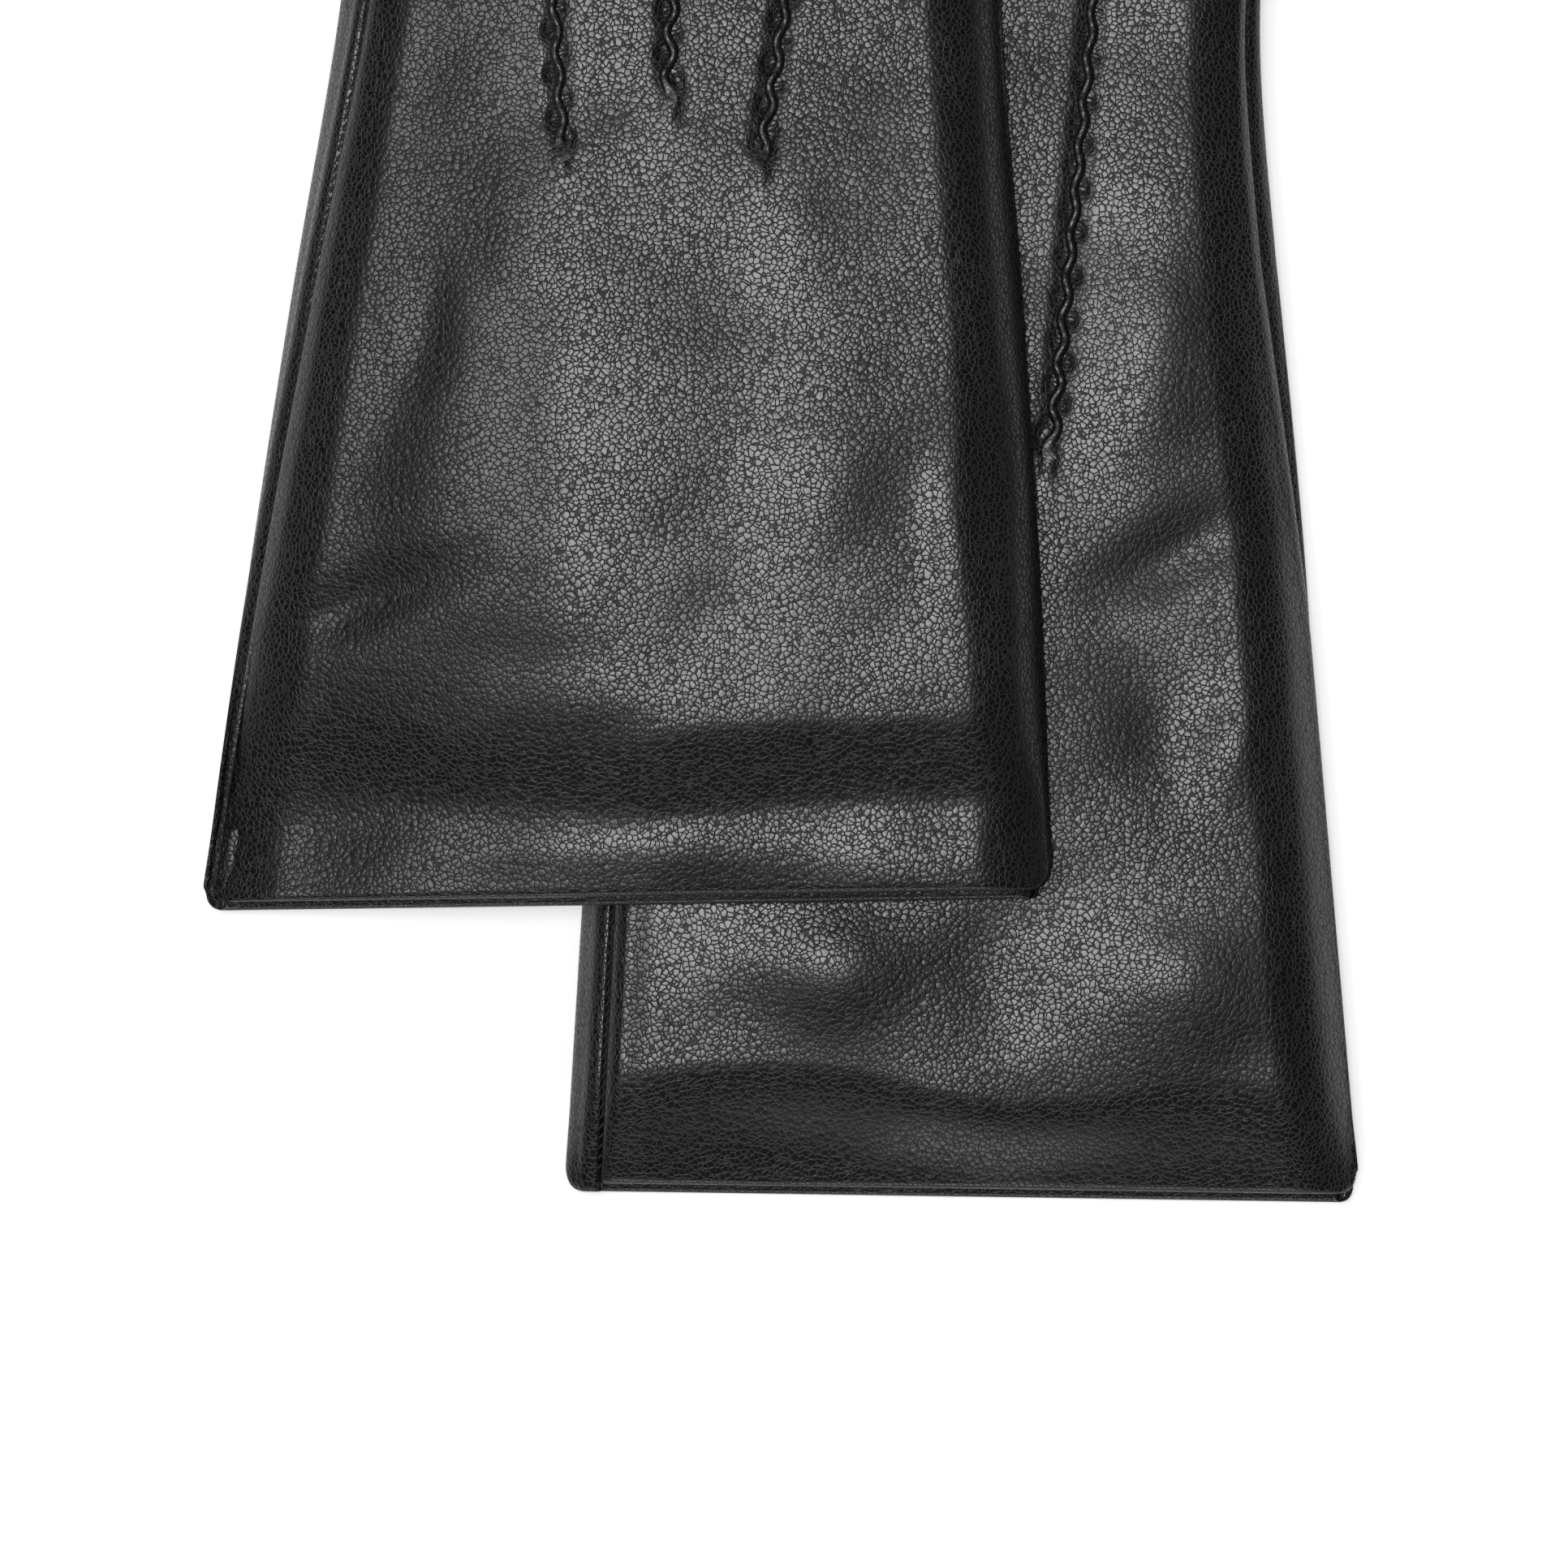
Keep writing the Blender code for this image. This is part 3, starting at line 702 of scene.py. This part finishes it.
def point_threads(glove, name):
    """The pairs of stitches that hold a point's bends."""
    base_v = POINTS[name][2] * MM
    v = np.arange(base_v, POINT_TOP_V, 0.05 * MM)
    _, middle, sway = point_line(glove, name, v)
    rate = np.gradient(sway)
    turns = np.flatnonzero(np.sign(rate[1:]) != np.sign(rate[:-1])) + 1
    turns = turns[(v[turns] > base_v + 1.5 * MM) & (v[turns] < POINT_TOP_V - 4 * MM)]
    lensed = lens(hand_rows_at(glove, v), middle[:, None])[:, 0]
    centres, along = [], []
    for k in turns:
        way = -np.sign(sway[k])
        for shift in (-PAIR_HALF, PAIR_HALF):
            cu = middle[k] + way * POINT_STITCH_OUT
            cv = v[k] + shift
            relief = float(folds_only(glove, np.array(cu), np.array(cv)))
            z = 2 * HALF_THICK * lensed[k] + relief - 0.12 * MM
            a = place(glove, np.array([cu - 0.9 * MM, cu, cu + 0.9 * MM]),
                      np.array([cv - 0.35 * MM, cv, cv + 0.35 * MM]), np.array([z, z, z]))
            centres.append(a[1])
            along.append(a[2] - a[0])
    centres, along = np.array(centres), np.array(along)
    up = np.tile((0.0, 0.0, 1.0), (len(centres), 1))
    stitches(glove.name + "_" + name + "_stitches", centres, along, up, *POINT_STITCH,
             glove.name + "_hand")


def folds_only(glove, u, v):
    """Relief of the back without the dips beside its points."""
    table = LEFT_FOLDS if glove.draped else RIGHT_FOLDS
    relief = folds(table, u, v) + waves(u, v, SEED + glove.mirror, 34 * MM, 0.16 * MM)
    return relief + waves(u, v, SEED + 5 + glove.mirror, 13 * MM, 0.045 * MM)


# Turns of the rows round a digit's tip
TIP_ANGLES = np.radians([8, 16, 24, 32, 40, 48, 56, 64, 72, 79, 85, 88.5])


def finger_rows(name, step=0.9 * MM):
    """Rows of a finger from its base at the knuckles round its tip."""
    base_u, tip_half, length, splay = FINGERS[name]
    count = int(length * MM / step)
    t = np.concatenate([np.linspace(0, 1, count), np.ones(len(TIP_ANGLES))])
    tip = np.concatenate([np.zeros(count), TIP_ANGLES])
    half = FINGER_BASE_HALF + (tip_half * MM - FINGER_BASE_HALF) * smooth(t)
    lean = math.radians(splay)
    reach = (length - tip_half) * MM * t
    start = math.atan(KNUCKLE_SLOPE)
    turn = start * (1 - smooth(t * 3)) - lean * smooth(t * 3)
    mid_u = base_u * MM + reach * math.sin(lean)
    mid_v = KNUCKLE_V + KNUCKLE_SLOPE * base_u * MM + reach * math.cos(lean)
    across = np.stack([np.cos(turn), np.sin(turn)], axis=1)
    middle = np.stack([mid_u, mid_v], axis=1)
    return Rows(middle - across * half[:, None], middle + across * half[:, None], HALF_THICK, tip=tip)


def through(points, t):
    """Points of a smooth curve through rail points."""
    p = np.array(points) * MM
    p = np.concatenate([[2 * p[0] - p[1]], p, [2 * p[-1] - p[-2]]])
    i = np.clip(t.astype(int), 0, len(points) - 2)
    f = (t - i)[:, None]
    a, b, c, d = (p[i + k] for k in range(4))
    return 0.5 * (2 * b + (c - a) * f + (2 * a - 5 * b + 4 * c - d) * f**2 + (3 * b - a - 3 * c + d) * f**3)


def thumb_rows():
    """Rows of the thumb, from inside the hand round its tip."""
    t = np.linspace(0, len(THUMB_OUTER) - 1, 88)
    inner, outer = through(THUMB_INNER, t), through(THUMB_OUTER, t)
    tip = np.concatenate([np.zeros(len(t)), TIP_ANGLES])
    inner = np.concatenate([inner, np.repeat(inner[-1:], len(TIP_ANGLES), axis=0)])
    outer = np.concatenate([outer, np.repeat(outer[-1:], len(TIP_ANGLES), axis=0)])
    radius = HALF_THICK - 0.25 * MM * (1 - smooth((np.arange(len(tip)) - 20) / 30.0))
    return Rows(inner, outer, radius, tip=tip)


WALL_ANGLE = math.radians(30)
WALL_SPREAD = math.radians(29)
DIGIT_SEAM = 0.6  # the digits' seams against the hand's


def make_digit(glove, name, rows, walls):
    """A finger or thumb: back, palm, fourchettes in the listed sides, and its knit."""
    prefix = glove.name + "_" + name

    def join(obj, node):
        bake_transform(obj)
        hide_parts(prefix + "_" + node)

    thumb = WALL_ANGLE if 1 in walls else 0.0
    out = WALL_ANGLE if -1 in walls else 0.0
    for node, over in (("back", True), ("palm", False)):
        flip = 1.0 if over else -1.0
        side, angle, distance = columns(rows, flip * thumb, flip * out, over)
        points = lay(glove, rows, side, angle, DIGIT_SEAM * seam_shape(distance), in_hand=False)
        join(keep(leather_sheet(prefix + "_" + node + "_skin", points), "leather"), node)
    for way in walls:
        spread = np.linspace(-WALL_SPREAD, WALL_SPREAD, 13)
        angle = np.tile(spread if way > 0 else math.pi - spread, (len(rows.half), 1))
        distance = (WALL_SPREAD - np.abs(spread)) * HALF_THICK
        offset = np.tile(DIGIT_SEAM * seam_shape(distance), (len(rows.half), 1))
        points = lay(glove, rows, np.full(angle.shape, float(way)), angle, offset, in_hand=False)
        node = "fourchette" if len(walls) == 1 else {1: "fourchette_a", -1: "fourchette_b"}[way]
        obj = wall_sheet(glove, prefix + "_" + node + "_skin", points, way)
        join(keep(obj, "leather"), node)
    join(knit_tube(glove, name + "_knit", rows, False), "lining")


# Sides of each finger that have a fourchette: 1 towards the thumb, -1 away from it
WALLS = {"index": (-1,), "middle": (1, -1), "ring": (1, -1), "little": (1,)}


FINGER_BEND = 14 * MM
THUMB_BEND = ((41 * MM, 193 * MM), (56 * MM, 196 * MM))


def make_digits(glove):
    """All fingers and the thumb of a glove."""
    lift = HALF_THICK
    for name in FINGERS:
        rows = finger_rows(name)
        u0, v0 = rows.middle[0]
        start = place(glove, np.array(u0), np.array(v0), lift)
        away = place(glove, np.array(u0 - KNUCKLE_SLOPE * FINGER_BEND), np.array(v0 + FINGER_BEND), lift)
        away[2] = start[2]
        make_digit(glove, name, rows, WALLS[name])
    start, end = (place(glove, np.array(u), np.array(v), lift) for u, v in THUMB_BEND)
    end[2] = start[2]
    make_digit(glove, "thumb", thumb_rows(), ())


for glove in GLOVES:
    make_hand(glove)
    for point in POINTS:
        make_ridge(glove, point)
        point_threads(glove, point)
    seam_threads(glove, "thumb")
    seam_threads(glove, "outer")
    make_digits(glove)


# ---------------------------------------------------------------- materials
class Nodes:
    """A short way to build a node material."""

    def __init__(self, name):
        self.material = bpy.data.materials.new(name)
        self.material.use_nodes = True
        self.tree = self.material.node_tree
        self.shader = self.tree.nodes["Principled BSDF"]

    def add(self, kind, inputs=None, **settings):
        node = self.tree.nodes.new("ShaderNode" + kind)
        for key, value in settings.items():
            setattr(node, key, value)
        for key, value in (inputs or {}).items():
            if isinstance(value, bpy.types.NodeSocket):
                self.tree.links.new(value, node.inputs[key])
            else:
                node.inputs[key].default_value = value
        return node

    def link(self, source, target):
        self.tree.links.new(source, target)

    def math(self, operation, a, b=0.5, clamp=False):
        return self.add("Math", {0: a, 1: b}, operation=operation, use_clamp=clamp).outputs[0]

    def span(self, value, low, high, to_low, to_high):
        inputs = {"Value": value, "From Min": low, "From Max": high, "To Min": to_low, "To Max": to_high}
        return self.add("MapRange", inputs).outputs[0]


CELLS = {"Scale": 1350.0, "Randomness": 0.9}
FURROW_WIDTH = 0.12
FINE_NOISE = {"Scale": 4600.0, "Detail": 1.0, "Roughness": 0.5}
GRAIN_DEPTH = 0.000092
RIDGE_GRAIN = 0.3  # the grain that is left on the stretched leather of a point


def leather_material(name, grain):
    """Black pebble-grained leather: low cells under 1 mm across, furrows darkened by painted shade in the
    base colour, uneven gloss.
    """
    m = Nodes(name)
    place_at = m.add("TexCoord").outputs["Object"]
    place_at = m.add("Mapping", {"Vector": place_at, "Rotation": (0.6, 0.4, 0.9)}).outputs[0]
    warp = m.add("TexNoise", {"Vector": place_at, "Scale": 500.0, "Detail": 2.0}).outputs["Color"]
    bent = m.add("VectorMath", {0: warp, 1: (0.5, 0.5, 0.5)}, operation="SUBTRACT").outputs[0]
    bent = m.add("VectorMath", {0: bent, "Scale": 0.0011}, operation="SCALE").outputs[0]
    at = m.add("VectorMath", {0: place_at, 1: bent}, operation="ADD").outputs[0]
    voronoi = m.add("TexVoronoi", {"Vector": at, **CELLS}, feature="F1")
    crease = m.add("TexVoronoi", {"Vector": at, **CELLS}, feature="DISTANCE_TO_EDGE").outputs[0]
    each = m.add("SeparateColor", {"Color": voronoi.outputs["Color"]}).outputs[0]
    furrow = m.add("MapRange", {"Value": crease, "From Max": FURROW_WIDTH},
                   interpolation_type="SMOOTHSTEP").outputs[0]
    fine = m.add("TexNoise", {"Vector": place_at, **FINE_NOISE}).outputs[0]
    broad = m.add("TexNoise", {"Vector": place_at, "Scale": 45.0, "Detail": 3.0}).outputs[0]
    depth = m.span(broad, 0.35, 0.65, 0.55, 1.0)
    dome = m.math("SUBTRACT", 1.0, m.math("POWER", voronoi.outputs["Distance"], 2.0))
    height = m.math("ADD", m.math("MULTIPLY", dome, 0.5), m.math("MULTIPLY", furrow, 0.35))
    height = m.math("MULTIPLY", m.math("ADD", height, m.math("MULTIPLY", fine, 0.14)), depth)
    bump = m.add("Bump", {"Height": height, "Strength": 1.0, "Distance": GRAIN_DEPTH * grain})
    m.link(bump.outputs[0], m.shader.inputs["Normal"])
    # Base colour: painted shade darkens the grain's furrows; each cell's tone also varies at random.
    tone_and_furrow_shade = m.math("MULTIPLY", furrow, m.math("ADD", m.math("MULTIPLY", each, 0.3), 0.7))
    ramp = m.add("ValToRGB", {"Fac": tone_and_furrow_shade})
    ramp.color_ramp.elements[0].position = 0.05
    ramp.color_ramp.elements[0].color = (0.0012, 0.0012, 0.0011, 1)
    ramp.color_ramp.elements[1].position = 0.95
    ramp.color_ramp.elements[1].color = (0.0038, 0.0036, 0.0033, 1)
    m.link(ramp.outputs[0], m.shader.inputs["Base Color"])
    rough = m.math("ADD", m.span(each, 0.0, 1.0, 0.28, 0.25), m.span(furrow, 0.0, 1.0, 0.35, 0.0))
    m.link(rough, m.shader.inputs["Roughness"])
    m.shader.inputs["Specular IOR Level"].default_value = 0.7
    return m.material


def knit_material():
    """Fine charcoal knit: rows of loops with a soft fuzz."""
    m = Nodes("charcoal_knit")
    place_at = m.add("TexCoord").outputs["Object"]
    across = m.add("TexWave", {"Vector": place_at, "Scale": 420.0, "Distortion": 0.6, "Detail": 1.0},
                   bands_direction="X").outputs["Fac"]
    along = m.add("TexWave", {"Vector": place_at, "Scale": 300.0, "Distortion": 0.4, "Detail": 1.0},
                  bands_direction="Y").outputs["Fac"]
    loops = m.math("MULTIPLY", across, along)
    fuzz = m.add("TexNoise", {"Vector": place_at, "Scale": 2600.0, "Detail": 2.0}).outputs[0]
    height = m.math("ADD", loops, m.math("MULTIPLY", fuzz, 0.4))
    bump = m.add("Bump", {"Height": height, "Strength": 0.8, "Distance": 0.0003})
    m.link(bump.outputs[0], m.shader.inputs["Normal"])
    ramp = m.add("ValToRGB", {"Fac": height})
    ramp.color_ramp.elements[0].color = (0.008, 0.008, 0.009, 1)
    ramp.color_ramp.elements[1].color = (0.030, 0.030, 0.032, 1)
    m.link(ramp.outputs[0], m.shader.inputs["Base Color"])
    m.shader.inputs["Roughness"].default_value = 0.85
    m.shader.inputs["Sheen Weight"].default_value = 0.4
    m.shader.inputs["Sheen Roughness"].default_value = 0.5
    return m.material


def thread_material():
    """Black twisted thread with a faint shine."""
    m = Nodes("black_thread")
    place_at = m.add("TexCoord").outputs["Object"]
    twist = m.add("TexWave", {"Vector": place_at, "Scale": 1500.0, "Distortion": 1.0},
                  bands_direction="DIAGONAL").outputs["Fac"]
    bump = m.add("Bump", {"Height": twist, "Strength": 0.5, "Distance": 0.00008})
    m.link(bump.outputs[0], m.shader.inputs["Normal"])
    ramp = m.add("ValToRGB", {"Fac": twist})
    ramp.color_ramp.elements[0].color = (0.006, 0.006, 0.006, 1)
    ramp.color_ramp.elements[1].color = (0.020, 0.019, 0.018, 1)
    m.link(ramp.outputs[0], m.shader.inputs["Base Color"])
    m.shader.inputs["Roughness"].default_value = 0.6
    return m.material


MATERIALS = {"leather": leather_material("black_grained_leather", 1.0),
             "ridge": leather_material("stretched_black_leather", RIDGE_GRAIN),
             "knit": knit_material(),
             "thread": thread_material()}
for kind, pieces in PIECES.items():
    for piece in pieces:
        piece.data.materials.clear()
        piece.data.materials.append(MATERIALS[kind])


# ---------------------------------------------------------------- floor, light and camera
FLOOR_HALF = 1.6
FLOOR_DROP = 0.3 * MM


def make_floor():
    """A large plain white floor just under the gloves."""
    corners = [(-1, -1), (1, -1), (1, 1), (-1, 1)]
    verts = np.array([(x * FLOOR_HALF, y * FLOOR_HALF, -FLOOR_DROP) for x, y in corners])
    floor = finish_mesh("floor", verts, np.array([[0, 1, 2, 3]]))
    m = Nodes("white_paper")
    noise = m.add("TexNoise", {"Vector": m.add("TexCoord").outputs["Object"], "Scale": 3.0}).outputs[0]
    ramp = m.add("ValToRGB", {"Fac": noise})
    ramp.color_ramp.elements[0].color = (0.93, 0.93, 0.93, 1)
    ramp.color_ramp.elements[1].color = (0.95, 0.95, 0.95, 1)
    m.link(ramp.outputs[0], m.shader.inputs["Base Color"])
    m.shader.inputs["Roughness"].default_value = 0.9
    m.shader.inputs["Specular IOR Level"].default_value = 0.1
    m.shader.inputs["Emission Color"].default_value = (1.0, 1.0, 1.0, 1)
    m.shader.inputs["Emission Strength"].default_value = 0.5
    floor.data.materials.append(m.material)


def add_light(name, at, aim, size, power):
    """A soft rectangular light."""
    data = bpy.data.lights.new(name, "AREA")
    data.shape = "RECTANGLE"
    data.size, data.size_y = size
    data.energy = power
    obj = bpy.data.objects.new(name, data)
    obj.location = at
    obj.rotation_euler = (Vector(aim) - Vector(at)).to_track_quat("-Z", "Y").to_euler()
    bpy.context.scene.collection.objects.link(obj)


VIEW_MIDDLE = (-1.9 * MM, -117.3 * MM)
VIEW_WIDTH = 212.3 * MM
CAMERA_HEIGHT = 1.8
LEATHER_HEIGHT = 0.01  # where the view is VIEW_WIDTH wide
SENSOR_WIDTH = 36.0
# Lights: place, aim, size and power in watts
LIGHTS = {
    "softbox": ((-0.17, -0.05, 2.0), (-0.02, -0.10, 0.0), (0.60, 0.60), 12.0),
    "left": ((-0.95, 0.04, 1.9), (-0.04, -0.03, 0.0), (0.60, 0.50), 6.0),
    "back": ((0.05, 1.4, 0.8), (0.0, 0.0, 0.0), (1.4, 0.5), 7.0),
    "front": ((-0.2, -1.6, 0.7), (0.0, -0.1, 0.0), (1.4, 0.5), 6.0),
}

make_floor()
for light, (at, aim, size, power) in LIGHTS.items():
    add_light(light, at, aim, size, power)

world = bpy.data.worlds.new("studio")
world.use_nodes = True
world.node_tree.nodes["Background"].inputs["Color"].default_value = (1.0, 1.0, 1.0, 1)
world.node_tree.nodes["Background"].inputs["Strength"].default_value = 0.05
bpy.context.scene.world = world
bpy.context.scene.view_settings.view_transform = "Standard"

camera_data = bpy.data.cameras.new("camera")
camera_data.sensor_width = SENSOR_WIDTH
camera_data.lens = SENSOR_WIDTH * (CAMERA_HEIGHT - LEATHER_HEIGHT) / VIEW_WIDTH
camera_data.clip_end = 20.0
camera = bpy.data.objects.new("camera", camera_data)
camera.location = (VIEW_MIDDLE[0], VIEW_MIDDLE[1], CAMERA_HEIGHT)
bpy.context.scene.collection.objects.link(camera)
bpy.context.scene.camera = camera
